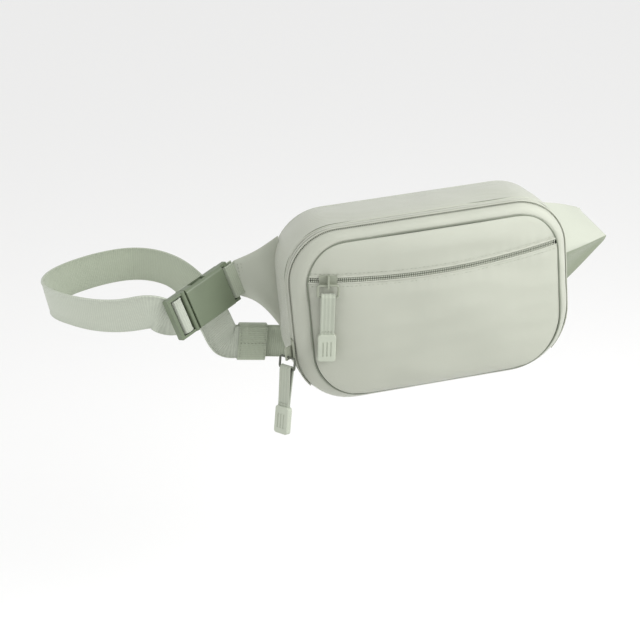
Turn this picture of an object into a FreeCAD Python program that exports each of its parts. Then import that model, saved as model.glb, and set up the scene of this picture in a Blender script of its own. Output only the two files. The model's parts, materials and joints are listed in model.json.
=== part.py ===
"""Belt bag: a small zipped pouch worn on a webbing belt with a side-release buckle. Millimetres, +Z up.

The origin is the middle of the pouch's back face, which rests on the wearer. The front of the pouch looks
along -Y. Viewed from the front, the buckle and the loop of slack belt are on the left, at -X.
"""
import FreeCAD, Part
import math
import os

V = FreeCAD.Vector

# ---- driving dimensions ----
# An outline is left, right, bottom and top edge, then the radii of the top, lower left and lower right corners.
BODY = (-99.0, 95.0, -60.0, 64.0, 36.0, 40.0, 44.0)      # outside of the side band
ZIP = (-97.0, 93.0, -58.0, 62.0, 34.0, 38.0, 42.0)       # the main zip follows this
SEAM = (-87.0, 87.0, -54.5, 56.0, 29.0, 33.0, 36.0)      # the front panel is sewn on along this
BAND_DEPTH = 42.0                                # side band, from the back face forwards
FABRIC = 2.0                                     # side band with its foam
BACK_T = 4.0                                     # padded back panel
LINING_T = 0.8
TAPE_T = 0.8
SPLIT_Y = -47.1                                  # between the two halves of the main zip
SPLIT_GAP = 0.8
ZIP_LOW_Z = -46.0                                # the main zip runs over the top, down to here on each side
BEVEL_Y = -48.8                                  # the front bevel starts here
SEAM_Y = -55.0                                   # the front panel's seam
SEAM_W = SEAM[1] - SEAM[0]
BEVEL_T = 1.2
CROWN = 6.0                                      # how far the front panel bows forwards in the middle
PANEL_T = 1.2
POCKET_Z = 27.5                                  # height of the pocket zip in its middle
POCKET_RISE, POCKET_HALF = 5.0, 80.0             # it curves up this much, this far from its middle
POCKET_ZIP_W = 166.0
COIL = 1.05
POCKET_GAP = 0.4                                 # from the pocket zip's middle to each row of coil
WEB_W, WEB_T = 24.0, 1.6                         # belt webbing
WING_T = 2.4
PULL_LEAN = 14.0                                 # how far the main pull stands off the vertical, degrees


# ---- helpers ----
def inset(shape, t):
    """The outline that lies t inside another. A negative t is outside it."""
    left, right, bottom, top, *radii = shape
    return (left + t, right - t, bottom + t, top - t, *(r - t for r in radii))


def outline(shape, y):
    """An outline as a wire in the plane at y."""
    left, right, bottom, top, r_top, r_left, r_right = shape
    corners = [(right, top, 1, 1, r_top), (left, top, -1, 1, r_top), (left, bottom, -1, -1, r_left),
               (right, bottom, 1, -1, r_right)]
    arcs = []
    for i, (x, z, sx, sz, r) in enumerate(corners):
        cx, cz, d = x - sx * r, z - sz * r, r * math.sqrt(0.5)
        side, cap = V(x, y, cz), V(cx, y, z)
        arcs.append((side, V(cx + sx * d, y, cz + sz * d), cap) if i % 2 == 0 else
                    (cap, V(cx + sx * d, y, cz + sz * d), side))
    edges = []
    for i, (start, middle, end) in enumerate(arcs):
        edges.append(Part.Arc(start, middle, end).toShape())
        edges.append(Part.LineSegment(end, arcs[(i + 1) % 4][0]).toShape())
    return Part.Wire(edges)


def slab(shape, y0, y1):
    """An outline, extruded from y0 to y1."""
    return Part.Face(outline(shape, y0)).extrude(V(0, y1 - y0, 0))


def band(shape, t, y0, y1):
    """A ring of wall t inside the outline, from y0 to y1."""
    return slab(shape, y0, y1).cut(slab(inset(shape, t), y0 - 1, y1 + 1))


def box(x0, x1, y0, y1, z0, z1):
    return Part.makeBox(x1 - x0, y1 - y0, z1 - z0, V(x0, y0, z0))


def cyl(r, start, direction, length):
    return Part.makeCylinder(r, length, start, direction)


def slats(stations, width, thick):
    """A band through stations of (centre, width direction), each section square to the path."""
    wires = []
    for i, (p, w) in enumerate(stations):
        ahead = stations[min(i + 1, len(stations) - 1)][0] - stations[max(i - 1, 0)][0]
        across = (w - ahead * (w.dot(ahead) / ahead.dot(ahead))).normalize()
        normal = ahead.cross(across).normalize()
        a, b = across * (width / 2), normal * (thick / 2)
        wires.append(Part.makePolygon([p - a - b, p + a - b, p + a + b, p - a + b, p - a - b]))
    return Part.makeLoft(wires, True, True)


def route(points, widths, count):
    """Stations evenly along a smooth line through points. The width direction turns from one to the next."""
    line = Part.BSplineCurve()
    line.interpolate(Points=points)
    marks = [line.parameter(p) for p in points]
    first, last = line.FirstParameter, line.LastParameter
    found = []
    for i in range(count):
        t = first + (last - first) * i / (count - 1)
        k = max(j for j in range(len(marks) - 1) if j == 0 or marks[j] <= t + 1e-9)
        share = (t - marks[k]) / (marks[k + 1] - marks[k])
        found.append((line.value(t), widths[k] * (1 - share) + widths[k + 1] * share))
    return found


def save(name, shape):
    shape = shape.removeSplitter() if len(shape.Solids) == 1 else shape
    solids = shape.Solids
    assert solids and all(s.isValid() and s.Volume > 0 for s in solids), name
    Part.makeCompound(solids).exportStep(f"parts/{name}.step")
    print(f"{name:24s} {len(solids)} solid(s) {sum(s.Volume for s in solids) / 1000:8.2f} cm3")


# ---- pouch: side band, back, lining, rear half of the main zip ----
BELOW_ZIP = box(-110, 110, -60, 0, -110, ZIP_LOW_Z)


def pouch():
    inside = inset(BODY, FABRIC)
    save("side_band", band(BODY, FABRIC, -BAND_DEPTH, 0))
    save("back_panel", slab(inside, -BACK_T, 0))
    lining = band(inside, LINING_T, -BAND_DEPTH + 3.2, -BACK_T)
    floor = slab(inset(inside, LINING_T), -BACK_T - LINING_T, -BACK_T)
    save("lining", lining.fuse(floor))
    rear = SPLIT_Y + SPLIT_GAP / 2
    tape = band(ZIP, TAPE_T, rear + 0.2, -BAND_DEPTH + 3)
    save("main_zip_tape_rear", tape.cut(BELOW_ZIP))
    save("hinge_strip", tape.common(BELOW_ZIP))
    around = inset(ZIP, -COIL)
    save("main_zip_coil_rear", band(around, COIL, rear, rear + COIL).cut(BELOW_ZIP))
    stops = band(around, COIL, rear + COIL + 0.1, rear + COIL + 1.8)
    ends = box(-110, 110, -60, 0, ZIP_LOW_Z, ZIP_LOW_Z + 3).cut(box(-60, 60, -60, 0, -110, 0))
    save("main_zip_stops", stops.common(ends))


# ---- front: opens about its bottom edge ----
BOW_R = (SEAM_W ** 2 / 4 + CROWN ** 2) / (2 * CROWN)
FACE_Y = SEAM_Y - CROWN
BOW_CENTRE = V(0, FACE_Y + BOW_R, 0)
RISE_R = (POCKET_HALF ** 2 + POCKET_RISE ** 2) / (2 * POCKET_RISE)


def bow(depth_out, depth_in):
    """The space between two depths behind the bowed front face."""
    start, tall = BOW_CENTRE - V(0, 0, 100), 200
    outer = Part.makeCylinder(BOW_R - depth_out, tall, start, V(0, 0, 1))
    inner = Part.makeCylinder(BOW_R - depth_in, tall, start, V(0, 0, 1))
    near = box(-SEAM_W, SEAM_W, FACE_Y - 5, SEAM_Y + 15, -100, 100)
    return outer.common(near).cut(inner)


def under_zip_line(offset):
    """Everything lower than the pocket zip's curved middle line plus an offset."""
    centre = V(0, -95, POCKET_Z + RISE_R)
    return box(-100, 100, -95, 0, -100, 80).cut(Part.makeCylinder(RISE_R - offset, 100, centre, V(0, 1, 0)))


def zip_lane(low, high):
    """The lane along the pocket zip between two offsets from its middle line."""
    ends = box(-POCKET_ZIP_W / 2, POCKET_ZIP_W / 2, -95, 0, -100, 100)
    return under_zip_line(high).cut(under_zip_line(low)).common(ends)


def front():
    forward = SPLIT_Y - SPLIT_GAP / 2
    save("main_zip_tape_front", band(ZIP, TAPE_T, BEVEL_Y, forward))
    save("main_zip_coil_front", band(inset(ZIP, -COIL), COIL, forward - COIL, forward).cut(BELOW_ZIP))
    rear = inset(ZIP, -0.4)
    outer = Part.makeLoft([outline(rear, BEVEL_Y), outline(SEAM, SEAM_Y)], True)
    inner = Part.makeLoft([outline(inset(rear, BEVEL_T), BEVEL_Y), outline(inset(SEAM, BEVEL_T), SEAM_Y)], True)
    save("front_bevel", outer.cut(inner))
    deep = FACE_Y - 5
    full = Part.makeCylinder(BOW_R, 200, BOW_CENTRE - V(0, 0, 100), V(0, 0, 1))
    save("front_piping", band(SEAM, 1.5, deep, SEAM_Y).common(full))
    panel = slab(inset(SEAM, 1.5), deep, SEAM_Y + 12)
    edge = POCKET_GAP + COIL + 0.3
    skin = bow(0, PANEL_T).common(panel)
    save("front_panel_upper", skin.cut(under_zip_line(edge)))
    save("pocket_panel", skin.common(under_zip_line(-edge)))
    tapes = zip_lane(-6, -POCKET_GAP).fuse(zip_lane(POCKET_GAP, 6))
    save("pocket_zip_tapes", bow(PANEL_T, PANEL_T + TAPE_T).common(tapes))
    row = bow(0.2, PANEL_T)
    save("pocket_zip_coil_upper", row.common(zip_lane(POCKET_GAP, POCKET_GAP + COIL)))
    save("pocket_zip_coil_lower", row.common(zip_lane(-POCKET_GAP - COIL, -POCKET_GAP)))
    save("pocket_backing", bow(5.2, 6.0).common(panel))


# ---- zip pulls ----
RING_R, RING_HALF, RING_DROP = 0.8, 6.8, 8.0
PULL_W, PULL_T, PULL_L = 10.0, 3.0, 26.0
END_W, END_T, END_L = 12.0, 4.4, 19.0


def place(shape, origin, along, out, angle=0.0):
    """From local axes (X along the hinge, Y out, Z up) to origin, leaning out from the vertical by angle."""
    shape = shape.copy()
    shape.rotate(V(), V(1, 0, 0), -angle)
    up = along.cross(out) * -1
    m = FreeCAD.Matrix(along.x, -out.x, up.x, origin.x, along.y, -out.y, up.y, origin.y,
                       along.z, -out.z, up.z, origin.z, 0, 0, 0, 1)
    shape.Placement = FreeCAD.Placement(m).multiply(shape.Placement)
    return shape


def ring():
    """A wire frame hanging from its top bar on the X axis, with round corners."""
    c, w, d = 1.6, RING_HALF, RING_DROP
    k = c * (1 - math.sqrt(0.5))
    bend = [(V(-w, 0, -c), V(-w + k, 0, -k), V(-w + c, 0, 0)), (V(w - c, 0, 0), V(w - k, 0, -k), V(w, 0, -c)),
            (V(w, 0, -d + c), V(w - k, 0, -d + k), V(w - c, 0, -d)),
            (V(-w + c, 0, -d), V(-w + k, 0, -d + k), V(-w, 0, -d + c))]
    edges = []
    for i, (a, m, b) in enumerate(bend):
        edges.append(Part.Arc(a, m, b).toShape())
        edges.append(Part.LineSegment(b, bend[(i + 1) % 4][0]).toShape())
    path = Part.Wire(edges)
    section = Part.Wire(Part.makeCircle(RING_R, V(-w, 0, -c), V(0, 0, 1)))
    return path.makePipeShell([section], True, True)


def pull_web():
    """Doubled webbing that goes round the ring's lower bar."""
    fold = cyl(PULL_T / 2 + 0.3, V(-PULL_W / 2, 0, -RING_DROP), V(1, 0, 0), PULL_W)
    strip = box(-PULL_W / 2, PULL_W / 2, -PULL_T / 2, PULL_T / 2, -RING_DROP - PULL_L, -RING_DROP)
    return fold.fuse(strip).cut(cyl(RING_R + 0.3, V(-PULL_W, 0, -RING_DROP), V(1, 0, 0), 2 * PULL_W))


def pull_end():
    """Moulded grip on the webbing's end, with a rounded foot and a grooved face."""
    top = -RING_DROP - PULL_L
    grip = box(-END_W / 2, END_W / 2, -END_T / 2, END_T / 2, top - END_L, top)
    grip = grip.makeFillet(2.0, [e for e in grip.Edges if abs(e.Vertexes[0].Y - e.Vertexes[-1].Y) > 1])
    grip = grip.makeFillet(0.7, [e for e in grip.Edges if abs(e.BoundBox.YMax - e.BoundBox.YMin) < 0.01])
    for x in (-2.6, 0, 2.6):
        groove = cyl(0.5, V(x, -END_T / 2, top - END_L + 4), V(0, 0, 1), END_L - 9)
        grip = grip.cut(groove)
    return grip


def pull(prefix, origin, along, out, lean):
    for name, made in (("ring", ring()), ("webbing", pull_web()), ("end", pull_end())):
        save(f"{prefix}_pull_{name}", place(made, origin, along, out, lean))


# Main zip: the slider rides on the left side of the pouch, low down.
MAIN_SLIDER_Z = -16.5
MAIN_PIVOT = V(-103.6, -49.4, -21.0)
MAIN_TURN = math.radians(35)                     # the pull's face looks this far round from -X towards -Y
MAIN_OUT = V(-math.cos(MAIN_TURN), -math.sin(MAIN_TURN), 0)
MAIN_ALONG = V(0, 0, 1).cross(MAIN_OUT)


def main_slider():
    half, face = 6.5, COIL - ZIP[0]
    tape = -ZIP[0] - TAPE_T
    z0, z1 = MAIN_SLIDER_Z - half, MAIN_SLIDER_Z + half
    outer = box(-face - 1.75, -face - 0.35, -49.6, -44.2, z0, z1)
    flange = box(-face - 0.4, -face + 0.6, -45.0, -44.2, z0, z1)
    inner = box(-tape + 0.4, -tape + 1.5, -48.5, -45.0, z0, z1)
    divider = box(-face - 0.4, -tape + 0.5, SPLIT_Y - 0.1, SPLIT_Y + 0.1, z0 + 2, z1 - 2)
    body = outer.fuse([flange, inner, divider])
    arch = place(box(-0.6, 0.6, -1.9, 7.0, -2.0, 7.0), MAIN_PIVOT, MAIN_ALONG, MAIN_OUT)
    room = box(-face - 1.75, -80, -60, -40, -60, 0)
    hole = place(cyl(RING_R + 0.45, V(-2, 0, 0), V(1, 0, 0), 4), MAIN_PIVOT, MAIN_ALONG, MAIN_OUT)
    save("main_slider", body.fuse(arch.cut(room)).cut(hole))
    pull("main", MAIN_PIVOT, MAIN_ALONG, MAIN_OUT, PULL_LEAN)


# Pocket zip: its line bends back and up at once, so it is an arc in a leaning plane, and the slider turns along it.
BACK_SAG = BOW_R - math.sqrt(BOW_R ** 2 - POCKET_HALF ** 2)
TO_CENTRE = V(0, BACK_SAG, POCKET_RISE).normalize()
SAG = math.hypot(BACK_SAG, POCKET_RISE)
ARC_R = (POCKET_HALF ** 2 + SAG ** 2) / (2 * SAG)
ARC_CENTRE = V(0, FACE_Y, POCKET_Z) + TO_CENTRE * ARC_R
ARC_AXIS = V(1, 0, 0).cross(TO_CENTRE)
SLIDER_X = -73.0                                 # where the slider rests
POCKET_REST = math.degrees(math.asin(SLIDER_X / ARC_R))


def pocket_slider():
    half = 6.0
    outer = box(-half, half, FACE_Y - 1.6, FACE_Y - 0.4, POCKET_Z - 3.4, POCKET_Z + 3.4)
    back = FACE_Y + PANEL_T + TAPE_T
    inner = box(-half, half, back + 0.3, back + 1.2, POCKET_Z - 3.0, POCKET_Z + 3.0)
    divider = box(-half + 2, half - 2, FACE_Y - 0.5, back + 0.4, POCKET_Z - 0.1, POCKET_Z + 0.1)
    pivot = V(0, FACE_Y - 3.9, POCKET_Z - 2.5)
    arch = box(-0.6, 0.6, pivot.y - 1.9, FACE_Y - 1.5, pivot.z - 2.0, pivot.z + 6.5)
    hole = cyl(RING_R + 0.45, pivot - V(2, 0, 0), V(1, 0, 0), 4)
    made = {"slider": outer.fuse([inner, divider, arch]).cut(hole)}
    for name, piece in (("ring", ring()), ("webbing", pull_web()), ("end", pull_end())):
        made[f"pull_{name}"] = place(piece, pivot, V(1, 0, 0), V(0, -1, 0))
    for name, shape in made.items():
        shape = shape.copy()
        shape.rotate(ARC_CENTRE, ARC_AXIS, POCKET_REST)
        save(f"pocket_{name}", shape)
    turn = FreeCAD.Placement(V(), FreeCAD.Rotation(ARC_AXIS, POCKET_REST), ARC_CENTRE)
    print("arc centre", ARC_CENTRE, "axis", ARC_AXIS, "rest", POCKET_REST)
    print("pocket pivot", turn.multVec(pivot), "bar", turn.multVec(pivot - V(0, 0, RING_DROP)),
          "along", turn.Rotation.multVec(V(1, 0, 0)))


# ---- wings, one at each side of the pouch ----
def left_wing():
    top, bottom = V(-92, -4, 50.5), V(-92, -4, -26)
    tip_high, tip_low = V(-126, -4, 36.5), V(-123, -4, 10.5)
    lower = Part.Arc(tip_low, V(-106.5, -4, -4), bottom).toShape()
    upper = Part.Arc(top, V(-110, -4, 42.6), tip_high).toShape()
    wire = Part.Wire([upper, Part.LineSegment(tip_high, tip_low).toShape(), lower,
                      Part.LineSegment(bottom, top).toShape()])
    plate = Part.Face(wire).extrude(V(0, WING_T, 0))
    plate.translate(V(0, -WING_T / 2, 0))
    save("left_wing", plate.cut(slab(BODY, -60, 10)))


RIGHT_TIP_LOW, RIGHT_TIP_HIGH = V(144.5, 5, 9.5), V(130, 24, 28)


def right_wing():
    def section(low, high, normal):
        n = normal.normalize() * (WING_T / 2)
        return Part.makePolygon([low - n, high - n, high + n, low + n, low - n])

    root = section(V(92, -4, -38), V(92, -4, 45), V(0, 1, 0))
    tip = section(RIGHT_TIP_LOW, RIGHT_TIP_HIGH, V(0.45, 0.75, -0.5))
    save("right_wing", Part.makeLoft([root, tip], True, True).cut(slab(BODY, -60, 10)))


# ---- side-release buckle, in its own axes: u towards the tongue's way out, v across, n out of its face ----
BUCKLE_AT = V(-135.3, -9.0, 21.9)                # middle of the socket's closed end
BUCKLE_U = V(-0.8075, -0.5595, -0.188).normalize()
BUCKLE_N = BUCKLE_U.cross(V(0.2594, -0.0534, -0.9645)).normalize()
BUCKLE_V = BUCKLE_N.cross(BUCKLE_U)
SOCKET_L, HALF_W, HALF_T = 34.0, 14.5, 4.5
CAVITY_W, CAVITY_T = 12.9, 2.6
WINDOW = (14.0, 27.0)
PRONG_PIVOT = (32.2, 8.0)


def from_buckle(shape):
    u, v, n, p = BUCKLE_U, BUCKLE_V, BUCKLE_N, BUCKLE_AT
    m = FreeCAD.Matrix(u.x, v.x, n.x, p.x, u.y, v.y, n.y, p.y, u.z, v.z, n.z, p.z, 0, 0, 0, 1)
    shape = shape.copy()
    shape.Placement = FreeCAD.Placement(m).multiply(shape.Placement)
    return shape


def buckle_point(u, v, n):
    return BUCKLE_AT + BUCKLE_U * u + BUCKLE_V * v + BUCKLE_N * n


def along_u(shape):
    """The shape's straight edges that run along its own X axis."""
    return [e for e in shape.Edges if e.BoundBox.XMax - e.BoundBox.XMin > 5 and e.BoundBox.YLength < 0.01]


def buckle():
    housing = box(0, SOCKET_L, -HALF_W, HALF_W, -HALF_T, HALF_T)
    housing = housing.makeFillet(2.2, along_u(housing))
    housing = housing.cut(box(3, SOCKET_L + 1, -CAVITY_W, CAVITY_W, -CAVITY_T, CAVITY_T))
    housing = housing.cut(box(*WINDOW, -HALF_W - 1, HALF_W + 1, -CAVITY_T, CAVITY_T))
    frame = box(-6.5, 0.5, -HALF_W, HALF_W, -2, 2).cut(box(-3.5, 0, -12.6, 12.6, -3, 3))
    save("buckle_socket", from_buckle(housing.fuse(frame)))

    base = box(34.4, 37.4, -HALF_W, HALF_W, -3.6, 3.6)
    arms = box(37.0, 50, -HALF_W, HALF_W, -2.6, 2.6).cut(box(37.4, 47.6, -12.7, 12.7, -4, 4))
    bar = box(40.8, 43.8, -12.8, 12.8, -1.3, 1.3)
    tongue = box(8, 34.5, -2.5, 2.5, -1.9, 1.9)
    base = base.makeFillet(1.2, [e for e in base.Edges if e.BoundBox.YLength > 20])
    save("buckle_tongue", from_buckle(base.fuse([arms, bar, tongue])))

    pu, pv = PRONG_PIVOT
    for name, side in (("upper", -1), ("lower", 1)):
        shape = [(10, 7.4), (31.5, 6.6), (32.6, 9.4), (27.6, 9.6), (26.7, 12.6), (16.2, 13.6), (14.5, 12.9), (10, 9.4)]
        face = Part.Face(Part.makePolygon([V(u, side * v, -2.2) for u, v in shape + shape[:1]]))
        arm = face.extrude(V(0, 0, 4.4)).fuse(cyl(1.5, V(pu, side * pv, -2.2), V(0, 0, 1), 4.4))
        save(f"buckle_prong_{name}", from_buckle(arm))

    loop = box(-10.5, -2.0, -WEB_W / 2, WEB_W / 2, -2.9, 2.9).cut(box(-12, -3.2, -20, 20, -2.05, 2.05))
    save("buckle_tab", from_buckle(loop))
    wrap = box(39.5, 45.1, -WEB_W / 2, WEB_W / 2, -3.0, 2.4 + WEB_T / 2).cut(box(40.6, 44.0, -20, 20, -5, 1.6))
    save("belt_bar_wrap", from_buckle(wrap))
    for label, p in (("prong upper", buckle_point(pu, -pv, 0)), ("prong lower", buckle_point(pu, pv, 0))):
        print(label, [round(c, 3) for c in p])
    print("u", BUCKLE_U, "n", BUCKLE_N)


# ---- belt ----
def lean(x, y, z):
    return V(x, y, z).normalize()


KEEPER_FROM, KEEPER_TO = V(-96, 15.8, -36), V(-134, 15.8, -29)


def belt():
    tip = (RIGHT_TIP_LOW + RIGHT_TIP_HIGH) * 0.5 + V(-1.2, 2.6, -1.2)
    along_tip = (RIGHT_TIP_HIGH - RIGHT_TIP_LOW).normalize()
    upright = lean(0.18, 0, 0.98)
    straight = [KEEPER_FROM + (KEEPER_TO - KEEPER_FROM) * (i / 5) for i in range(6)]
    rear = route([tip, V(127, 29, 6), V(98, 31, -11), V(30, 22, -29), V(-40, 17, -36)] + straight
                 + [V(-142, 20.5, -15)],
                 [along_tip, lean(-0.3, 0.5, 0.8), lean(0, 0.1, 1), lean(0, 0, 1), lean(0.05, 0, 1)] + [upright] * 6
                 + [lean(0.8, 0.1, 0.6)], 40)
    save("belt_rear", slats(rear, WEB_W, WEB_T))
    loop = route([V(-144.5, 23.6, -9.8), V(-152.5, 40, 5), V(-167, 66, 13), V(-190, 84, 15), V(-225, 77, 16),
                  V(-250, 52, 17.5), V(-254.5, 26, 18.5), V(-243, 3, 18), V(-222, -14, 16), V(-200, -24, 17),
                  V(-184, -30.5, 17), buckle_point(45.5, -1.5, -6.0)],
                 [lean(0.75, 0, 0.65), lean(0.45, 0.2, 0.9), lean(0.1, 0.2, 1), lean(0, 0.2, 1), lean(-0.05, 0.2, 1),
                  lean(-0.12, 0.1, 1), lean(-0.12, 0, 1), lean(-0.1, -0.1, 1), lean(0, -0.1, 1), lean(0, -0.05, 1),
                  lean(-0.1, 0, 1), BUCKLE_V * -1], 44)
    save("belt_loop", slats(loop, WEB_W, WEB_T))
    join = V(-145, 4, -6.5)
    tail = route([buckle_point(37, 0, -6.2), buckle_point(23, 0, -8.6), V(-152, -3, 6), join],
                 [BUCKLE_V * -1, BUCKLE_V * -1, lean(0.4, 0.2, 0.9), lean(0.6, 0.2, 0.77)], 16)
    save("belt_tail", slats(tail, WEB_W, WEB_T))
    near = V(0, -3.3, 0)
    end = route([V(-141.2, 7.6, -17.0)] + [p + near for p in reversed(straight[2:])],
                [lean(0.75, 0.1, 0.65)] + [upright] * 4, 14)
    save("belt_tail_end", slats(end, WEB_W, WEB_T))
    keeper()


def keeper():
    """A stitched loop on the belt's free end that holds it to the belt. It slides along the belt."""
    length, tall, wall = 20.0, WEB_W + 1.0, 1.1
    x0 = -length / 2
    outer = box(x0, x0 + length, -4.0, 4.0, -tall / 2 - wall, tall / 2 + wall)
    inner = box(x0 - 1, x0 + length + 1, -4.0 + wall, 4.0 - wall, -tall / 2, tall / 2)
    shell = outer.cut(inner)
    along = (KEEPER_TO - KEEPER_FROM).normalize()
    out = V(0, -1, 0)
    centre = V(-118.5, 14.3, 0)
    share = (centre.x - KEEPER_FROM.x) / (KEEPER_TO.x - KEEPER_FROM.x)
    centre.z = KEEPER_FROM.z + (KEEPER_TO.z - KEEPER_FROM.z) * share
    save("belt_keeper", place(shell, centre, along * -1, out))


os.makedirs("parts", exist_ok=True)
pouch()
front()
main_slider()
pocket_slider()
left_wing()
right_wing()
buckle()
belt()
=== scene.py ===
"""The looks of the belt bag, in metres: cloth shells, webbing, zips and stitching round the CAD frame."""
import json
import math

import bmesh
import bpy
import numpy as np
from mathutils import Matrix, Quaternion, Vector, noise

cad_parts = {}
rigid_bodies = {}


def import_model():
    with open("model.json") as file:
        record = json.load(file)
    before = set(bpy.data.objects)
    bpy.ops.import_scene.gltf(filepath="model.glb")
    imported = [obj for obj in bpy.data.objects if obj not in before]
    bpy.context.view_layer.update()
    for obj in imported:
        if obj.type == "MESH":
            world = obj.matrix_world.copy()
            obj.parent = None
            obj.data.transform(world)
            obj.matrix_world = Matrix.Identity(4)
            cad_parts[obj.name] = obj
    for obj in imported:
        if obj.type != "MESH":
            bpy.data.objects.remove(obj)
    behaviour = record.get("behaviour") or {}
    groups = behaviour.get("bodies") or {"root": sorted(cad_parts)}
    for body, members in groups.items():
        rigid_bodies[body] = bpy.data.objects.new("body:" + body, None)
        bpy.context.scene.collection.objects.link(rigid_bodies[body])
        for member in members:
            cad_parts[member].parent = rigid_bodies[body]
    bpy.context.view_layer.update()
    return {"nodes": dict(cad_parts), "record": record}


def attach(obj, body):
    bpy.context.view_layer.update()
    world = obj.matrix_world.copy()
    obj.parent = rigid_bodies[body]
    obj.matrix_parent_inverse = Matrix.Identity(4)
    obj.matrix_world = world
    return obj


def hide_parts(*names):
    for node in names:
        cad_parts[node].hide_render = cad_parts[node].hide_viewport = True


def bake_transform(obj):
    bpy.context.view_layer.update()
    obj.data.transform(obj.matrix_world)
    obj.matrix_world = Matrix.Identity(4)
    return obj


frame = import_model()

MM = 0.001
NODES = frame["nodes"]

# ---- sizes that the CAD model sets ----
# An outline is its left, right, bottom and top edge, then the radii of its top, lower left and lower right
# corners, all in millimetres.
BODY = (-99, 95, -60, 64, 36, 40, 44)            # outside of the side band
ZIP = (-97, 93, -58, 62, 34, 38, 42)             # the main zip follows this
SEAM = (-87, 87, -54.5, 56, 29, 33, 36)          # the front panel's seam
SEAM_Y, BEVEL_Y = -55 * MM, -48.8 * MM
CROWN = 6 * MM
POCKET_Z, POCKET_RISE, POCKET_HALF = 27.5 * MM, 5 * MM, 80 * MM
WEB_W, WEB_T = 24 * MM, 1.6 * MM
BUCKLE_AT = Vector((-135.3, -9.0, 21.9)) * MM
BUCKLE_U = Vector((-0.8075, -0.5595, -0.188)).normalized()
BUCKLE_N = BUCKLE_U.cross(Vector((0.2594, -0.0534, -0.9645))).normalized()
BUCKLE_V = BUCKLE_N.cross(BUCKLE_U)
X, Y, Z = Vector((1, 0, 0)), Vector((0, 1, 0)), Vector((0, 0, 1))

# ---- sizes that are only here ----
EDGE_ROLL = 14 * MM                              # how far in from its seam the front face curves
TOOTH_RISE = 0.5 * MM                            # how far a zip's teeth stand out
WING_CLOTH = 1.8 * MM
RING_DROP = 8 * MM                               # from a ring's pivot to the bar that the webbing goes round


def srgb(r, g, b):
    """Linear colour from 0-255 screen values."""
    def linear(c):
        return (c / 255) / 12.92 if c <= 10 else ((c / 255 + 0.055) / 1.055) ** 2.4

    return (linear(r), linear(g), linear(b), 1)


SAGE = srgb(169, 172, 159)
SAGE_DARK = srgb(142, 147, 131)
WING = srgb(172, 176, 163)
# painted shade: the wing nylon made darker for the right wing's facet below its crease
WING_PAINTED_SHADE = srgb(128, 136, 116)
BELT = srgb(186, 192, 178)
# darker than BELT: partly the webbing's own inner side and partly painted shade; on the keeper it is only
# painted shade
BELT_INNER_AND_SHADE = srgb(170, 178, 159)
PULL = srgb(172, 178, 163)
PLASTIC = srgb(103, 114, 92)
SEAM_SHADE = srgb(112, 118, 103)
ZIP_COIL = srgb(184, 188, 173)
ZIP_TAPE = srgb(132, 137, 122)
WIRE = srgb(84, 88, 78)


# ---- materials ----
def shader(name, color, rough, sheen=0.0, specular=0.5):
    material = bpy.data.materials.new(name)
    material.use_nodes = True
    tree = material.node_tree
    bsdf = tree.nodes["Principled BSDF"]
    bsdf.inputs["Base Color"].default_value = color
    bsdf.inputs["Roughness"].default_value = rough
    bsdf.inputs["Sheen Weight"].default_value = sheen
    bsdf.inputs["Sheen Roughness"].default_value = 0.4
    bsdf.inputs["Specular IOR Level"].default_value = specular
    return material, tree, bsdf


def node(tree, kind, **values):
    made = tree.nodes.new(kind)
    for key, value in values.items():
        if key in made.inputs:
            made.inputs[key].default_value = value
        else:
            setattr(made, key, value)
    return made


def bump(tree, bsdf, heights, distance):
    """Adds the height outputs together as fine relief."""
    total = heights[0]
    for extra in heights[1:]:
        add = node(tree, "ShaderNodeMath", operation="ADD")
        tree.links.new(total, add.inputs[0])
        tree.links.new(extra, add.inputs[1])
        total = add.outputs[0]
    relief = node(tree, "ShaderNodeBump", Strength=0.6, Distance=distance)
    tree.links.new(total, relief.inputs["Height"])
    tree.links.new(relief.outputs[0], bsdf.inputs["Normal"])


def vary(tree, bsdf, source, dark, light):
    ramp = node(tree, "ShaderNodeValToRGB")
    ramp.color_ramp.elements[0].position = 0.3
    ramp.color_ramp.elements[1].position = 0.7
    ramp.color_ramp.elements[0].color = dark
    ramp.color_ramp.elements[1].color = light
    tree.links.new(source, ramp.inputs[0])
    tree.links.new(ramp.outputs[0], bsdf.inputs["Base Color"])


WAVE = 2 * math.pi / 20                          # a wave texture at this scale repeats once per unit


def tint(color, k):
    return tuple(min(1.0, c * k) for c in color[:3]) + (1,)


def woven(name, color, rough=0.55, pitch=0.5, sheen=0.25, crease=0.5, crease_shade_and_sheen=0.025):
    """Plain-woven cloth: crossed threads in object space, soft creases, and painted shade and sheen that
    darken the crease hollows and lighten their rises.
    """
    material, tree, bsdf = shader(name, color, rough, sheen)
    place = node(tree, "ShaderNodeTexCoord").outputs["Object"]
    heights = []
    for direction in ("X", "Z"):
        wave = node(tree, "ShaderNodeTexWave", Scale=WAVE / (pitch * MM), Distortion=0.6)
        wave.bands_direction = direction
        tree.links.new(place, wave.inputs["Vector"])
        heights.append(wave.outputs["Fac"])
    soft = node(tree, "ShaderNodeTexNoise", Scale=24.0, Detail=3.0)
    tree.links.new(place, soft.inputs["Vector"])
    lift = node(tree, "ShaderNodeMath", operation="MULTIPLY")
    lift.inputs[1].default_value = crease * 8
    tree.links.new(soft.outputs["Fac"], lift.inputs[0])
    bump(tree, bsdf, heights + [lift.outputs[0]], 0.00012)
    # Painted shade and sheen: the colour follows the crease noise, darker in its hollows and lighter on its
    # rises.
    vary(tree, bsdf, soft.outputs["Fac"], tint(color, 1 - crease_shade_and_sheen), tint(color, 1 + crease_shade_and_sheen))
    return material


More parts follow.
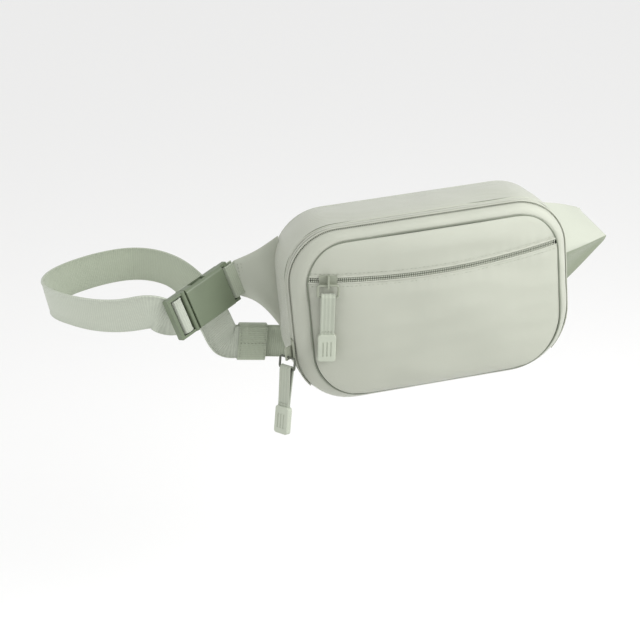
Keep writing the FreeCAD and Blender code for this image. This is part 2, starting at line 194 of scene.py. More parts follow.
def webbing_cloth(name, color, cross=1.5, along=0.93):
    """Webbing with ribs across its length and along it. Pitches are in millimetres, and its UVs in metres."""
    material, tree, bsdf = shader(name, color, 0.72, 0.3, 0.3)
    uv = node(tree, "ShaderNodeTexCoord").outputs["UV"]
    heights = []
    for direction, pitch in (("X", cross), ("Y", along)):
        wave = node(tree, "ShaderNodeTexWave", Scale=WAVE / (pitch * MM), Distortion=0.4)
        wave.bands_direction = direction
        tree.links.new(uv, wave.inputs["Vector"])
        heights.append(wave.outputs["Fac"])
    bump(tree, bsdf, heights, 0.00022)
    mix = node(tree, "ShaderNodeMath", operation="MULTIPLY")
    tree.links.new(heights[0], mix.inputs[0])
    tree.links.new(heights[1], mix.inputs[1])
    vary(tree, bsdf, mix.outputs[0], tint(color, 0.88), tint(color, 1.05))
    return material


def moulded(name, color, rough, grain=900.0, depth=0.00003, specular=0.45):
    """Moulded plastic or painted metal with a fine even grain."""
    material, tree, bsdf = shader(name, color, rough, 0.0, specular)
    place = node(tree, "ShaderNodeTexCoord").outputs["Object"]
    fine = node(tree, "ShaderNodeTexNoise", Scale=grain, Detail=2.0)
    tree.links.new(place, fine.inputs["Vector"])
    bump(tree, bsdf, [fine.outputs["Fac"]], depth)
    broad = node(tree, "ShaderNodeTexNoise", Scale=60.0)
    tree.links.new(place, broad.inputs["Vector"])
    vary(tree, bsdf, broad.outputs["Fac"], tint(color, 0.95), tint(color, 1.04))
    return material


def air_mesh(name, color):
    """Spacer mesh of the back panel: small open cells."""
    material, tree, bsdf = shader(name, color, 0.85, 0.3, 0.2)
    place = node(tree, "ShaderNodeTexCoord").outputs["Object"]
    cells = node(tree, "ShaderNodeTexVoronoi", Scale=620.0)
    tree.links.new(place, cells.inputs["Vector"])
    bump(tree, bsdf, [cells.outputs["Distance"]], 0.0004)
    vary(tree, bsdf, cells.outputs["Distance"], tint(color, 1.08), tint(color, 0.78))
    return material


M = {
    "shell_fabric": woven("shell nylon", SAGE, 0.46, crease=0.35),
    "wing_fabric": woven("wing nylon", WING, 0.55, crease=0.6),
    "piping": woven("seam binding", SEAM_SHADE, 0.7, pitch=0.8),
    "padded_mesh": air_mesh("air mesh", SAGE_DARK),
    "lining": woven("lining cloth", SAGE_DARK, 0.7, crease=1.0),
    "zip_tape": woven("zip tape", ZIP_TAPE, 0.75, pitch=0.7),
    "zip_coil": moulded("zip coil", ZIP_COIL, 0.4),
    "slider_paint": moulded("painted slider", SAGE_DARK, 0.32, grain=300.0),
    "pull_wire": moulded("dark wire", WIRE, 0.3, grain=300.0),
    "pull_webbing": webbing_cloth("pull webbing", PULL, cross=0.8, along=2.4),
    "pull_grip": moulded("soft grip", PULL, 0.5),
    "belt_webbing": webbing_cloth("belt webbing", BELT),
    "buckle_plastic": moulded("buckle plastic", PLASTIC, 0.42),
}
THREAD = woven("thread", SAGE_DARK, 0.8, pitch=0.3)
BELT_BACK_AND_SHADE = webbing_cloth("belt webbing, inner side and painted shade", BELT_INNER_AND_SHADE)
WING_SHADE_CLOTH = woven("wing nylon, painted shade", WING_PAINTED_SHADE, 0.6, crease=0.6)
for material_slot in frame["record"]["subparts"]:
    carried = NODES[material_slot["node"]].data
    carried.materials.clear()
    carried.materials.append(M[material_slot["material_slot"]])

# The pocket's ring is painted like its slider.
NODES["pocket_pull_ring"].data.materials[0] = M["slider_paint"]


# ---- mesh helpers ----
def joined(rows):
    return [p for row in rows for p in row]


def mm(x, y, z):
    return Vector((x, y, z)) * MM


def lean(x, y, z):
    return Vector((x, y, z)).normalized()


def mesh_piece(name, verts, faces, slot, body=None, replaced=(), uvs=None, material=None):
    mesh = bpy.data.meshes.new(name)
    mesh.from_pydata([tuple(v) for v in verts], [], faces)
    mesh.validate()
    if uvs is not None:
        layer = mesh.uv_layers.new(name="UVMap")
        for loop in mesh.loops:
            layer.data[loop.index].uv = uvs[loop.vertex_index]
    tidy = bmesh.new()
    tidy.from_mesh(mesh)
    bmesh.ops.recalc_face_normals(tidy, faces=tidy.faces)
    tidy.to_mesh(mesh)
    tidy.free()
    mesh.shade_smooth()
    mesh.set_sharp_from_angle(angle=math.radians(60))
    mesh.materials.append(material or M[slot])
    made = bpy.data.objects.new(name, mesh)
    bpy.context.scene.collection.objects.link(made)
    if body:
        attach(made, body)
    if replaced:
        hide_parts(*replaced)
    return made


def rings(rows, closed_rows=False):
    """Faces that join rows of equal length, each row a closed ring of points. With closed_rows the last row
    joins the first, and otherwise both ends are capped."""
    n, k = len(rows[0]), len(rows)
    faces = []
    for i in range(k if closed_rows else k - 1):
        a, b = i * n, ((i + 1) % k) * n
        faces += [(a + j, a + (j + 1) % n, b + (j + 1) % n, b + j) for j in range(n)]
    if not closed_rows:
        faces += [tuple(reversed(range(n))), tuple(range((k - 1) * n, k * n))]
    return faces


def inset(shape, t):
    """The outline that lies t millimetres inside another. A negative t is outside it."""
    left, right, bottom, top, *radii = shape
    return (left + t, right - t, bottom + t, top - t, *(r - t for r in radii))


def outline(shape, side=30, end=18, corner=14):
    """Points and outward directions round an outline, with the same count for every one."""
    left, right, bottom, top, r_top, r_left, r_right = (v * MM for v in shape)
    arcs = [(right - r_top, top - r_top, r_top), (left + r_top, top - r_top, r_top),
            (left + r_left, bottom + r_left, r_left), (right - r_right, bottom + r_right, r_right)]
    found = []
    for quarter, (cx, cz, r) in enumerate(arcs):
        for i in range(corner):
            t = math.radians(90) * (quarter + i / corner)
            turn = Vector((math.cos(t), 0, math.sin(t)))
            found.append((Vector((cx, 0, cz)) + turn * r, turn))
        t = math.radians(90) * (quarter + 1)
        turn = Vector((math.cos(t), 0, math.sin(t)))
        nx, nz, nr = arcs[(quarter + 1) % 4]
        a, b = Vector((cx, 0, cz)) + turn * r, Vector((nx, 0, nz)) + turn * nr
        steps = side if quarter % 2 == 0 else end
        found += [(a.lerp(b, i / steps), turn) for i in range(steps)]
    return found


def wrinkle(p, scale, size):
    return noise.noise(p * scale) * size


def hoop(name, shape, section, slot, body, replaced=(), rough=0.0, material=None):
    """A closed band round an outline. section is a loop of (outwards, y) pairs across the band."""
    path = outline(shape)
    rows = []
    for out, y in section:
        row = []
        for p, direction in path:
            q = p + direction * out + Y * y
            row.append(q + direction * wrinkle(q, 45, rough))
        rows.append(row)
    faces = rings(rows, closed_rows=True)
    return mesh_piece(name, joined(rows), faces, slot, body, replaced, material=material)


def arc(centre, radius, start, stop, steps):
    """(outwards, y) pairs round an arc, in degrees."""
    angles = [math.radians(start + (stop - start) * i / steps) for i in range(steps + 1)]
    return [(centre[0] + radius * math.cos(a), centre[1] + radius * math.sin(a)) for a in angles]


def smooth_path(points, per_span):
    """A natural cubic spline through the points, over chord length, with each sample's place among them."""
    p = np.array([tuple(q) for q in points], float)
    t = np.concatenate([[0], np.cumsum(np.linalg.norm(np.diff(p, axis=0), axis=1))])
    h, n = np.diff(t), len(p)
    system, right = np.eye(n), np.zeros((n, 3))
    for i in range(1, n - 1):
        system[i, i - 1:i + 2] = h[i - 1], 2 * (h[i - 1] + h[i]), h[i]
        right[i] = 6 * ((p[i + 1] - p[i]) / h[i] - (p[i] - p[i - 1]) / h[i - 1])
    m = np.linalg.solve(system, right)
    found = []
    for i in range(n - 1):
        for s in range(per_span + (i == n - 2)):
            a = s / per_span
            b = 1 - a
            q = b * p[i] + a * p[i + 1] + ((b ** 3 - b) * m[i] + (a ** 3 - a) * m[i + 1]) * h[i] ** 2 / 6
            found.append((Vector(q), i + a))
    return found


def web(name, stops, slot, body=None, replaced=(), width=WEB_W, thick=WEB_T, per_span=10,
        start=0.0, end=None, material=None, inner=None):
    """Flat webbing with thicker woven edges. stops are (point, width direction), and start and end cut it
    short. inner is the cloth of its other side."""
    path = smooth_path([p for p, _ in stops], per_span)
    end = len(stops) - 1 if end is None else end
    edge, half = 1.1 * MM, width / 2
    t, rim = thick / 2, thick * 0.66
    side = [(-half, 0), (-half + 0.2 * MM, rim * 0.8), (-half + 0.6 * edge, rim), (-half + edge, t * 0.85),
            (-half * 0.45, t), (0, t), (half * 0.45, t), (half - edge, t * 0.85), (half - 0.6 * edge, rim),
            (half - 0.2 * MM, rim * 0.8)]
    profile = side + [(-a, -b) for a, b in side]
    rows, uvs, run, last = [], [], 0.0, None
    for i, (p, place) in enumerate(path):
        if not start - 1e-6 <= place <= end + 1e-6:
            continue
        ahead = (path[min(i + 1, len(path) - 1)][0] - path[max(i - 1, 0)][0]).normalized()
        k = min(int(place), len(stops) - 2)
        w = stops[k][1].lerp(stops[k + 1][1], place - k)
        across = (w - ahead * w.dot(ahead)).normalized()
        normal = ahead.cross(across)
        run += 0 if last is None else (p - last).length
        last = p
        rows.append([p + across * a + normal * b for a, b in profile])
        uvs += [(run, a) for a, b in profile]
    made = mesh_piece(name, joined(rows), rings(rows), slot, body, replaced, uvs, material)
    if inner:
        made.data.materials.append(inner)
        for face in made.data.polygons:
            face.material_index = int(face.index % len(profile) >= len(side))
    made["length_mm"] = round(run / MM, 1)
    return made


def stitches(name, points, normal, body, pitch=2.6 * MM, size=0.32 * MM):
    """Separate stitches along a line of points, raised a little from the cloth."""
    verts, faces = [], []
    for a, b in zip(points, points[1:]):
        count = max(1, round((b - a).length / pitch))
        step = (b - a) / count
        across = step.cross(normal).normalized() * size
        up = normal.normalized() * size
        for i in range(count):
            first, last = a + step * (i + 0.14), a + step * (i + 0.86)
            k, middle = len(verts), (first + last) / 2
            verts += [first, middle - across, middle + up, middle + across, middle - up, last]
            faces += [(k, k + 1 + j, k + 1 + (j + 1) % 4) for j in range(4)]
            faces += [(k + 5, k + 1 + (j + 1) % 4, k + 1 + j) for j in range(4)]
    return mesh_piece(name, verts, faces, "zip_tape", body, material=THREAD)


def teeth(name, path, slot, body, replaced, long=1.15 * MM, wide=0.44 * MM, pitch=1.25 * MM):
    """A zip's coil as separate rounded turns. path has (point, direction along the turn, direction out)."""
    ball = bmesh.new()
    bmesh.ops.create_icosphere(ball, subdivisions=1, radius=1)
    shape = [v.co.copy() for v in ball.verts]
    tris = [tuple(v.index for v in f.verts) for f in ball.faces]
    ball.free()
    verts, faces, left = [], [], 0.0
    for (a, tip, out), (b, _, _) in zip(path, path[1:]):
        length = (b - a).length
        along = (b - a) / length
        while left < length:
            centre, k = a + along * left, len(verts)
            verts += [centre + tip * (v.x * long / 2) + along * (v.y * wide) + out * (v.z * TOOTH_RISE)
                      for v in shape]
            faces += [tuple(k + j for j in f) for f in tris]
            left += pitch
        left -= length
    return mesh_piece(name, verts, faces, slot, body, replaced)


# ---- camera, light and floor ----
AZIMUTH, ELEVATION, ROLL, DISTANCE = -14.1, 20.6, -5.4, 1.0619
AIM = Vector((-0.069, 0.009, -0.022))
LENS, SENSOR = 84.4, 36
LAMPS = {                                        # place, size across and power
    "key": ((0.34, -0.30, 0.24), 0.25, 2.3),
    "top": ((0.05, 0.1, 0.9), 0.7, 0.8),
    "left": ((-0.9, -0.4, 0.35), 0.7, 2.2),
}
SURROUND, FLOOR_Z = 0.86, -0.3


def studio():
    flat = math.cos(math.radians(ELEVATION)) * DISTANCE
    eye = Vector((math.sin(math.radians(AZIMUTH)) * flat, -math.cos(math.radians(AZIMUTH)) * flat,
                  math.sin(math.radians(ELEVATION)) * DISTANCE))
    camera = bpy.data.objects.new("camera", bpy.data.cameras.new("camera"))
    camera.data.lens = LENS
    camera.data.sensor_width = SENSOR
    camera.location = eye
    turn = (AIM - eye).to_track_quat("-Z", "Y") @ Quaternion((0, 0, 1), math.radians(ROLL))
    camera.rotation_euler = turn.to_euler()
    bpy.context.scene.collection.objects.link(camera)
    bpy.context.scene.camera = camera
    bpy.context.scene.view_settings.view_transform = "Standard"
    for name, (spot, size, power) in LAMPS.items():
        lamp = bpy.data.objects.new(name, bpy.data.lights.new(name, "AREA"))
        lamp.data.size = size
        lamp.data.energy = power
        lamp.location = spot
        lamp.rotation_euler = (AIM - Vector(spot)).to_track_quat("-Z", "Y").to_euler()
        bpy.context.scene.collection.objects.link(lamp)
    world = bpy.data.worlds.new("studio")
    world.use_nodes = True
    world.node_tree.nodes["Background"].inputs[0].default_value = (1, 1, 1, 1)
    world.node_tree.nodes["Background"].inputs[1].default_value = SURROUND
    bpy.context.scene.world = world
    bpy.ops.mesh.primitive_plane_add(size=40, location=(0, 0, FLOOR_Z))
    floor = bpy.context.object
    floor.name = "floor"
    floor.data.materials.append(shader("floor", (0.97, 0.97, 0.965, 1), 0.9)[0])


# ---- pouch ----
def side_band():
    """The side band with its soft edges and a slight outward swell, thick enough to have an inner face."""
    swell = [(0.2 * MM + 0.9 * MM * math.sin(math.pi * i / 8), (-2.5 - 37 * i / 8) * MM) for i in range(9)]
    front_edge = arc((-1.1 * MM, -40.6 * MM), 1.3 * MM, -20, -180, 5)
    inner = [(-2.0 * MM, -38 * MM), (-2.0 * MM, -20 * MM), (-2.0 * MM, -3 * MM)]
    back_edge = [(-1.8 * MM, -0.3 * MM), (-0.8 * MM, 0.2 * MM), (0, -0.6 * MM)]
    section = swell + front_edge + inner + back_edge
    hoop("side_band_cloth", BODY, section, "shell_fabric", "bag", ["side_band"], rough=0.9 * MM)
    binding = arc((-0.8 * MM, -0.2 * MM), 1.2 * MM, 0, 330, 11)
    hoop("back_edge_binding", BODY, binding, "piping", "bag", material=M["wing_fabric"])
    seam = arc((-0.2 * MM, -40.2 * MM), 0.45 * MM, 0, 315, 7)
    hoop("side_band_seam", BODY, seam, "piping", "bag")


BACK_CHANNELS = (-50 * MM, -2 * MM, 46 * MM)


def back_pad():
    """Foam under air mesh, with a crowned face, a rounded rim and three sewn channels."""
    rim = outline(inset(BODY, 2.5))
    centre = Vector((-2, 0, 2)) * MM
    rows = []
    for k in [0.02] + [i / 40 for i in range(1, 41)]:
        row = []
        for p, _ in rim:
            q = centre.lerp(p, k)
            inset_by = (1 - k) * 60 * MM
            crown = 1.6 * MM * min(1, inset_by / (9 * MM)) ** 0.5
            for channel in BACK_CHANNELS:
                groove = math.exp(-((q.x - channel) / (3.2 * MM)) ** 2)
                crown -= 2.2 * MM * groove * min(1, inset_by / (12 * MM))
            row.append(Vector((q.x, -0.9 * MM + crown + wrinkle(q, 60, 0.3 * MM), q.z)))
        rows.append(row)
    rows += [[centre.lerp(p, k) - Y * 3.6 * MM for p, _ in rim] for k in (1, 0.5, 0.02)]
    pad = mesh_piece("back_pad", joined(rows), rings(rows), "padded_mesh", "bag", ["back_panel"])
    for i, channel in enumerate(BACK_CHANNELS):
        top = Vector((channel, -1.2 * MM, 52 * MM))
        stitches(f"back_pad_stitches_{i + 1}", [top, top - Z * 100 * MM], Y, "bag", pitch=3.2 * MM)


def main_zip():
    """Both rows of teeth and the cloth lips over them, from one end of the hinge round to the other."""
    around = outline(ZIP)
    low = [i for i, (p, _) in enumerate(around) if p.z < -46 * MM]
    around = around[low[-1] + 1:] + around[:low[0]]
    for side, y, body, gone in (("rear", -46.1 * MM, "bag", "main_zip_coil_rear"),
                                ("front", -48.0 * MM, "front_flap", "main_zip_coil_front")):
        path = [(p + d * 0.5 * MM + Y * y, Y, d) for p, d in around]
        teeth(f"main_zip_teeth_{side}", path, "zip_coil", body, [gone])
    for side, y, wide, body in (("rear", -44.8, 2.6, "bag"), ("front", -48.1, 1.7, "front_flap")):
        lip = [(p + d * 1.5 * MM + Y * y * MM, Y) for p, d in around]
        web(f"main_zip_{side}_lip", lip, "shell_fabric", body, width=wide * MM, thick=0.7 * MM, per_span=1)


def bevel():
    """The cloth between the main zip and the front panel: a soft roll that dips into the seam."""
    path = outline(ZIP)
    inner = outline(SEAM)
    profile = [(k / 10, 1.9 * MM * math.sin(math.pi * k / 10) ** 0.7) for k in range(11)]
    rows = []
    for k, proud in profile + [(1.0, -1.2 * MM), (0.5, -1.0 * MM), (0.0, -1.2 * MM)]:
        row = []
        for (a, da), (b, _) in zip(path, inner):
            q = a.lerp(b, k) + Y * (BEVEL_Y + (SEAM_Y - BEVEL_Y) * k)
            out = da * 0.5 - Y * 0.86
            soft = wrinkle(q, 55, 0.7 * MM) if proud > 0.5 * MM else 0
            low = 1 - 0.8 * max(0.0, -da.z) if proud > 0 else 1
            row.append(q + out * (proud + soft) * low + da * 0.4 * MM * (1 - k))
        rows.append(row)
    mesh_piece("front_bevel_cloth", joined(rows), rings(rows, closed_rows=True), "shell_fabric", "front_flap",
               ["front_bevel"])
    binding = arc((-0.3 * MM, -55.3 * MM), 0.55 * MM, 0, 330, 8)
    hoop("front_seam_binding", SEAM, binding, "piping", "front_flap", ["front_piping"])


def edges_at(z, shape):
    """The left and right edge of an outline at a height."""
    left, right, bottom, top, r_top, r_left, r_right = (v * MM for v in shape)
    edges = []
    for edge, sign, r_low in ((left, 1, r_left), (right, -1, r_right)):
        r = r_top if z > 0 else r_low
        deep = max(0.0, z - (top - r)) if z > 0 else max(0.0, bottom + r - z)
        edges.append(edge + sign * (r - math.sqrt(max(0.0, r * r - deep * deep))))
    return edges


def roll_in(distance):
    """Rises from 0 at the seam to 1 well inside it, like a soft rolled edge."""
    share = min(1.0, max(0.0, distance) / EDGE_ROLL)
    return math.sqrt(1 - (1 - share) ** 2)


def zip_z(x):
    return POCKET_Z + POCKET_RISE * (x / POCKET_HALF) ** 2


def face_y(x, z, puff=0.0):
    """The front face: bowed from side to side, rolled in to the seam, and a little puffed and creased."""
    left, right = edges_at(z, SEAM)
    bottom, top = SEAM[2] * MM, SEAM[3] * MM
    bow = CROWN * (1 - (x / (SEAM[1] * MM)) ** 2)
    edge = min(x - left, right - x)
    height = roll_in(min(z - bottom, top - z))
    soft = roll_in(edge) * height
    crease = wrinkle(Vector((x, 0, z)), 24, 1.2 * MM)
    crease += wrinkle(Vector((x * 0.5, 0.3, z * 1.6)), 60, 0.5 * MM)
    return SEAM_Y - bow * height * min(1.0, 0.3 + 0.7 * roll_in(edge * 2)) - (puff + crease) * soft


def panel(name, low, high, swell, replaced):
    """One cloth of the front face between two heights that depend on x, with puckers at the zip."""
    columns, lines = 120, 56
    front, back = [], []
    edge = inset(SEAM, 0.8)
    for j in range(lines + 1):
        share = j / lines
        left, right = edges_at(low(0) + (high(0) - low(0)) * share, edge)
        for i in range(columns + 1):
            s = math.sin(math.pi / 2 * (2 * i / columns - 1))
            x = (left + right) / 2 + (right - left) / 2 * s
            z = low(x) + (high(x) - low(x)) * share
            puff = swell * math.sin(math.pi * share) ** 0.8 * (1 - s * s) ** 0.6
            near_zip = math.exp(-abs(z - zip_z(x)) / (5 * MM))
            pucker = 0.28 * MM * near_zip * math.sin(x / MM * 0.75 + 2 * math.sin(x / MM * 0.11))
            y = face_y(x, z, puff + pucker)
            front.append(Vector((x, y, z)))
            back.append(Vector((x, min(y + 0.9 * MM, SEAM_Y + 1.0 * MM), z)))
    n = columns + 1
    return mesh_piece(name, front + back, slab_faces(n, lines + 1), "shell_fabric", "front_flap", replaced)


def slab_faces(n, m):
    """Faces of a thin slab whose upper and lower sides are each a grid of m rows of n points."""
    count = n * m
    faces = []
    for j in range(m - 1):
        for i in range(n - 1):
            a = j * n + i
            faces.append((a, a + 1, a + n + 1, a + n))
            faces.append((count + a, count + a + n, count + a + n + 1, count + a + 1))
    rim = list(range(n)) + [j * n + n - 1 for j in range(1, m)]
    rim += [(m - 1) * n + i for i in range(n - 2, -1, -1)] + [j * n for j in range(m - 2, 0, -1)]
    for a, b in zip(rim, rim[1:] + rim[:1]):
        faces.append((b, a, count + a, count + b))
    return faces


def front_panels():
    bottom, top, gap = (SEAM[2] + 0.8) * MM, (SEAM[3] - 0.8) * MM, 1.75 * MM
    panel("pocket_cloth", lambda x: bottom, lambda x: zip_z(x) - gap, 2.0 * MM, ["pocket_panel"])
    panel("upper_cloth", lambda x: zip_z(x) + gap, lambda x: top, 0.6 * MM, ["front_panel_upper"])
    half = 85 * MM
    for side, sign, gone in (("upper", 1, "pocket_zip_coil_upper"), ("lower", -1, "pocket_zip_coil_lower")):
        points = [Vector((x, face_y(x, zip_z(x)) - 0.15 * MM, zip_z(x) + sign * 0.78 * MM))
                  for x in np.linspace(-half, half, 80)]
        teeth(f"pocket_zip_teeth_{side}", [(p, Z, -Y) for p in points], "zip_coil", "front_flap", [gone],
              long=1.5 * MM)
        lip = [(Vector((x, face_y(x, zip_z(x)) - 0.1 * MM, zip_z(x) + sign * 2.2 * MM)), Z)
               for x in np.linspace(-half - 0.8 * MM, half + 0.8 * MM, 24)]
        web(f"pocket_zip_lip_{side}", lip, "shell_fabric", "front_flap", width=1.3 * MM, thick=0.5 * MM,
            per_span=4)
        line = []
        for x in np.linspace(-half, half, 60):
            z = zip_z(x) + sign * 4.4 * MM
            line.append(Vector((x, face_y(x, z) - 0.3 * MM, z)))
        stitches(f"pocket_zip_stitches_{side}", line, -Y, "front_flap", pitch=2.7 * MM, size=0.2 * MM)


# ---- wings ----
def wing_sheet(name, near, far, replaced, bulge, columns):
    """Cloth between two edges given as equally many points. bulge moves a point by its place on the sheet."""
    n = len(near)
    rows = []
    for j in range(columns + 1):
        t = j / columns
        rows.append([a.lerp(b, t) + bulge(t, i / (n - 1)) for i, (a, b) in enumerate(zip(near, far))])
    top, low = [], []
    for j, row in enumerate(rows):
        for i, p in enumerate(row):
            u = row[min(i + 1, n - 1)] - row[max(i - 1, 0)]
            v = rows[min(j + 1, columns)][i] - rows[max(j - 1, 0)][i]
            normal = u.cross(v).normalized()
            edge = min(i, n - 1 - i, columns - j)
            t = WING_CLOTH / 2 * (0.55 if edge == 0 else 1)
            top.append(p + normal * t)
            low.append(p - normal * t)
    return mesh_piece(name, top + low, slab_faces(n, columns + 1), "wing_fabric", "bag", replaced)


def left_wing():
    """A wing whose upper and lower edges curve in between the pouch and the buckle."""
    root_top, root_low = Vector((-95, -4.5, 49.5)) * MM, Vector((-95.5, -4.5, -25)) * MM
    tip_top, tip_low = Vector((-127, -4.2, 36.5)) * MM, Vector((-124.5, -4.2, 10.5)) * MM
    near = [root_top.lerp(root_low, i / 16) for i in range(17)]
    far = [tip_top.lerp(tip_low, i / 16) for i in range(17)]

    def bulge(t, s):
        belly = math.sin(math.pi * t)
        forward = -2.2 * MM * belly * math.sin(math.pi * s) - 0.8 * MM * math.sin(7 * s + 3 * t) * belly
        return Vector((0, forward, belly * (7.5 * MM * s ** 3 - 1.2 * MM * (1 - s))))

    wing_sheet("left_wing_cloth", near, far, ["left_wing"], bulge, 24)
    for i, back in enumerate((2.0, 4.5)):
        a, b = tip_top + X * back * MM - Y * 1.2 * MM, tip_low + X * back * MM - Y * 1.2 * MM
        stitches(f"left_wing_stitches_{i + 1}", [a - Z * 1.5 * MM, b + Z * 1.5 * MM], -Y, "bag")


def right_wing():
    """A wing creased from its root to its tip. The part below the crease takes a darker copy of the wing
    cloth as painted shade.
    """
    root_top, crease, root_low = mm(93, -4, 45), mm(93, -17, 7), mm(93, 5, -36)
    tip_top, tip = mm(130, 23, 27.5), mm(144.5, 4, 9.5)
    upper = [i / 12 for i in range(13)]
    lower = [i / 12 for i in range(1, 13)]
    near = [root_top.lerp(crease, t) for t in upper] + [crease.lerp(root_low, t) for t in lower]
    far = [tip_top.lerp(tip, t) for t in upper] + [tip + mm(-0.5, 1.5, -2.5) * t for t in lower]

    def bulge(t, s):
        belly = math.sin(math.pi * t)
        return Vector((0, 1.2 * MM * belly * math.sin(9 * s + 2 * t), 1.0 * MM * belly * (0.5 - s)))

    wing = wing_sheet("right_wing_cloth", near, far, ["right_wing"], bulge, 26)
    # The faces below the crease get the darker cloth, which is painted shade.
    wing.data.materials.append(WING_SHADE_CLOTH)
    for face in wing.data.polygons:
        column = face.index // 2 % (len(near) - 1)
        face.material_index = int(column >= len(upper) - 1)


# ---- belt ----
def on_buckle(u, v, n):
    return BUCKLE_AT + (BUCKLE_U * u + BUCKLE_V * v + BUCKLE_N * n) * MM


KEEPER_FROM, KEEPER_TO = mm(-96, 15.8, -36), mm(-134, 15.8, -29)
UPRIGHT = lean(0.18, 0, 0.98)


def belt():
    """One length of webbing, from the right wing behind the pouch, round the slack loop, over the buckle's
    bar and back to the keeper. It is cut into pieces where it crosses from one moving body to another."""
    along_tip = lean(-14.5, 19, 18.5)
    straight = [(KEEPER_FROM.lerp(KEEPER_TO, i / 5), UPRIGHT) for i in range(6)]
    rear = [(mm(136.05, 17.1, 17.55), along_tip), (mm(127, 29, 6), lean(-0.3, 0.5, 0.8)),
            (mm(98, 31, -11), lean(0, 0.1, 1)), (mm(30, 22, -29), Z), (mm(-40, 17, -36), lean(0.05, 0, 1))]
    back_run = [(mm(-142, 20.5, -15), lean(0.8, 0.1, 0.6)), (mm(-152.5, 40, 5), lean(0.45, 0.2, 0.9)),
                (mm(-167, 66, 13), lean(0.1, 0.2, 1)), (mm(-190, 84, 15), lean(0, 0.2, 1))]
    slack = [(mm(-225, 77, 16), lean(-0.05, 0.2, 1)), (mm(-250, 52, 17.5), lean(-0.12, 0.1, 1)),
             (mm(-254.5, 26, 18.5), lean(-0.12, 0, 1)), (mm(-243, 3, 18), lean(-0.1, -0.1, 1)),
             (mm(-222, -14, 16), lean(0, -0.1, 1)), (mm(-200, -24, 17), lean(0, -0.05, 1)),
             (mm(-184, -30.5, 17), lean(-0.1, 0, 1))]
    bar_turn = ((47.2, -5.2), (45.7, -1.0), (44.9, 2.0), (42.3, 2.9), (39.7, 2.0), (39.0, -1.0), (37.0, -5.4))
    over_bar = [(on_buckle(u, 0, n), -BUCKLE_V) for u, n in bar_turn]
    tail = [(on_buckle(23, 0, -8.6), -BUCKLE_V), (mm(-152, -3, 6), lean(0.4, 0.2, 0.9)),
            (mm(-145, 4, -6.5), lean(0.6, 0.2, 0.77)), (mm(-141.2, 7.6, -17), lean(0.75, 0.1, 0.65))]
    near = mm(0, -3.3, 0)
    tail_end = [(p + near, w) for p, w in reversed(straight[2:])]
    stops = rear + straight + back_run + slack + over_bar + tail + tail_end
    marks = np.cumsum([len(rear) + 5, 4, len(slack) + len(over_bar), 3, 1 + len(tail_end)])
    # The belt's other side takes the darker belt cloth, partly painted shade.
    web("belt_behind_pouch", stops, "belt_webbing", "bag", ["belt_rear"], end=marks[0], inner=BELT_BACK_AND_SHADE)
    back = web("belt_back_run", stops, "belt_webbing", start=marks[0], end=marks[1], inner=BELT_BACK_AND_SHADE)
    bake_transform(back)
    web("belt_slack_loop", stops, "belt_webbing", "buckle_tongue", ["belt_loop", "belt_bar_wrap"],
        start=marks[1], end=marks[2], inner=BELT_BACK_AND_SHADE)
    behind = web("belt_behind_buckle", stops, "belt_webbing", replaced=["belt_tail"], start=marks[2],
                 end=marks[3])
    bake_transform(behind)
    last = web("belt_free_end", stops, "belt_webbing", replaced=["belt_tail_end"], start=marks[3])
    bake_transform(last)
    runs = [o for o in bpy.context.scene.objects if o.name.startswith("belt_") and "length_mm" in o]
    print("belt length, mm:", round(sum(o["length_mm"] for o in runs)))


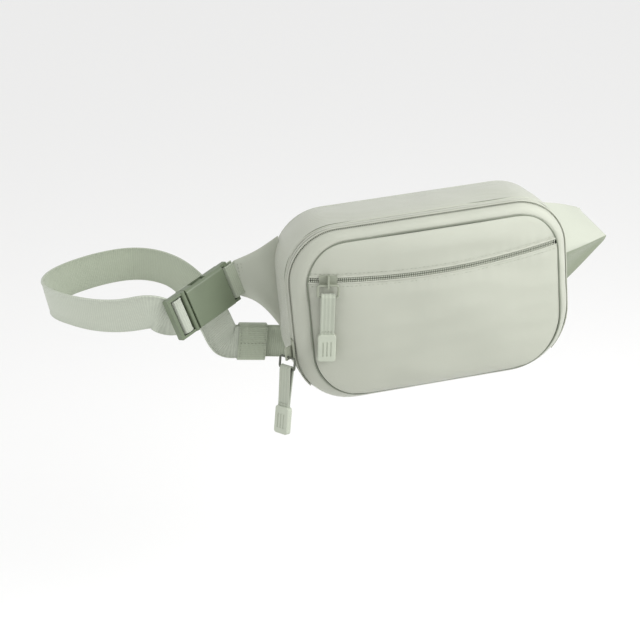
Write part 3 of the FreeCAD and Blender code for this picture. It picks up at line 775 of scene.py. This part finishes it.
def keeper():
    """A loop of webbing round the belt and its free end, sewn across the front."""
    along = (KEEPER_FROM - KEEPER_TO).normalized()
    share = 15.5 / 38                            # of the way from KEEPER_TO to KEEPER_FROM
    centre = KEEPER_TO.lerp(KEEPER_FROM, share) + mm(0, -1.5, 0)
    up = along.cross(-Y).normalized()
    up = up if up.z > 0 else -up
    half_w, half_t, turn = 13.2 * MM, 3.5 * MM, 2.6 * MM
    loop = []
    corners = ((half_w, -half_t, 270), (half_w, half_t, 0), (-half_w, half_t, 90), (-half_w, -half_t, 180))
    for cz, cy, start in corners:
        for i in range(6):
            a = math.radians(start + 18 * i)
            loop.append((cz - math.copysign(turn, cz) + turn * math.cos(a), cy - math.copysign(turn, cy)
                         + turn * math.sin(a)))
    outer = [centre + up * z + Y * y for z, y in loop]
    middle = sum(outer, Vector()) / len(outer)
    rows = []
    outside = ((-10, 0.5), (-9.6, 1), (-4.2, 1), (-4.0, 1.18), (-3.8, 1), (9.6, 1), (10, 0.5))
    inside = ((10, -0.5), (0, -0.5), (-10, -0.5))
    for s, k in outside + inside:
        grow = 0.6 * MM * k
        rows.append([p + along * s * MM + (p - middle).normalized() * grow for p in outer])
    uvs = [(p.dot(up), p.dot(along)) for p in joined(rows)]
    # The keeper takes the darker belt cloth as painted shade.
    mesh_piece("keeper_loop", joined(rows), rings(rows, closed_rows=True), "belt_webbing", "keeper",
               ["belt_keeper"], uvs, BELT_BACK_AND_SHADE)
    front = centre - Y * 4.4 * MM
    seam = [front - along * 9.5 * MM, front + along * 8.5 * MM]
    stitches("keeper_stitches", seam, -Y, "keeper", size=0.4 * MM)
    for i, s in enumerate((-8.6, 8.8)):
        edge = front + along * s * MM
        seam = [edge + up * 11.5 * MM, edge - up * 11.5 * MM]
        stitches(f"keeper_edge_stitches_{i + 1}", seam, -Y, "keeper")


def buckle_tab():
    """The wing's short webbing, folded round the socket's bar."""
    front = [(-13.5, 2.2), (-10, 2.7), (-6, 2.9), (-3.4, 2.3)]
    round_bar = front + [(-2.3, 0)] + [(u, -n) for u, n in reversed(front)]
    path = [(on_buckle(u, 0, n), BUCKLE_V) for u, n in round_bar]
    # The tab takes the same darker belt cloth that paints shade on the keeper.
    web("buckle_tab_webbing", path, "belt_webbing", "bag", ["buckle_tab"], width=23.5 * MM, thick=1.2 * MM,
        per_span=6, material=BELT_BACK_AND_SHADE)


# ---- zip pulls ----
def pull(prefix, pivot, hang, along, out, angle, body):
    """Webbing doubled round the ring, its two leaves sewn together above the moulded end."""
    down = hang * math.cos(angle) + out * math.sin(angle)
    face = along.cross(down).normalized()
    face = face if face.dot(out) > 0 else -face
    bar = pivot + down * RING_DROP
    one_side = [(28, 0.55), (20, 0.7), (12, 1.15), (5, 1.5), (1.3, 1.75), (-1.3, 1.25)]
    leaves = one_side + [(-2.1, 0)] + [(d, -f) for d, f in reversed(one_side)]
    path = [(bar + down * d * MM + face * f * MM, along) for d, f in leaves]
    web(f"{prefix}_pull_leaves", path, "pull_webbing", body, [f"{prefix}_pull_webbing"], width=9.6 * MM,
        thick=0.95 * MM, per_span=6)
    row = bar + down * 23.8 * MM + face * 1.35 * MM
    stitches(f"{prefix}_pull_stitches", [row - along * 3.8 * MM, row + along * 3.8 * MM], face, body,
             pitch=1.9 * MM)


def pulls():
    turn = math.radians(35)
    out = Vector((-math.cos(turn), -math.sin(turn), 0))
    pull("main", mm(-103.6, -49.4, -21), -Z, Vector((-out.y, out.x, 0)), out, math.radians(14), "main_pull")
    along = Vector((0.98693, -0.11474, -0.11317))
    hang = (mm(-74.63574, -60.58994, 21.25090) - mm(-73.73040, -60.64222, 29.19933)).normalized()
    pull("pocket", mm(-73.73040, -60.64222, 29.19933), hang, along, -Y, 0, "pocket_pull")


studio()
side_band()
back_pad()
main_zip()
bevel()
front_panels()
left_wing()
right_wing()
belt()
keeper()
buckle_tab()
pulls()
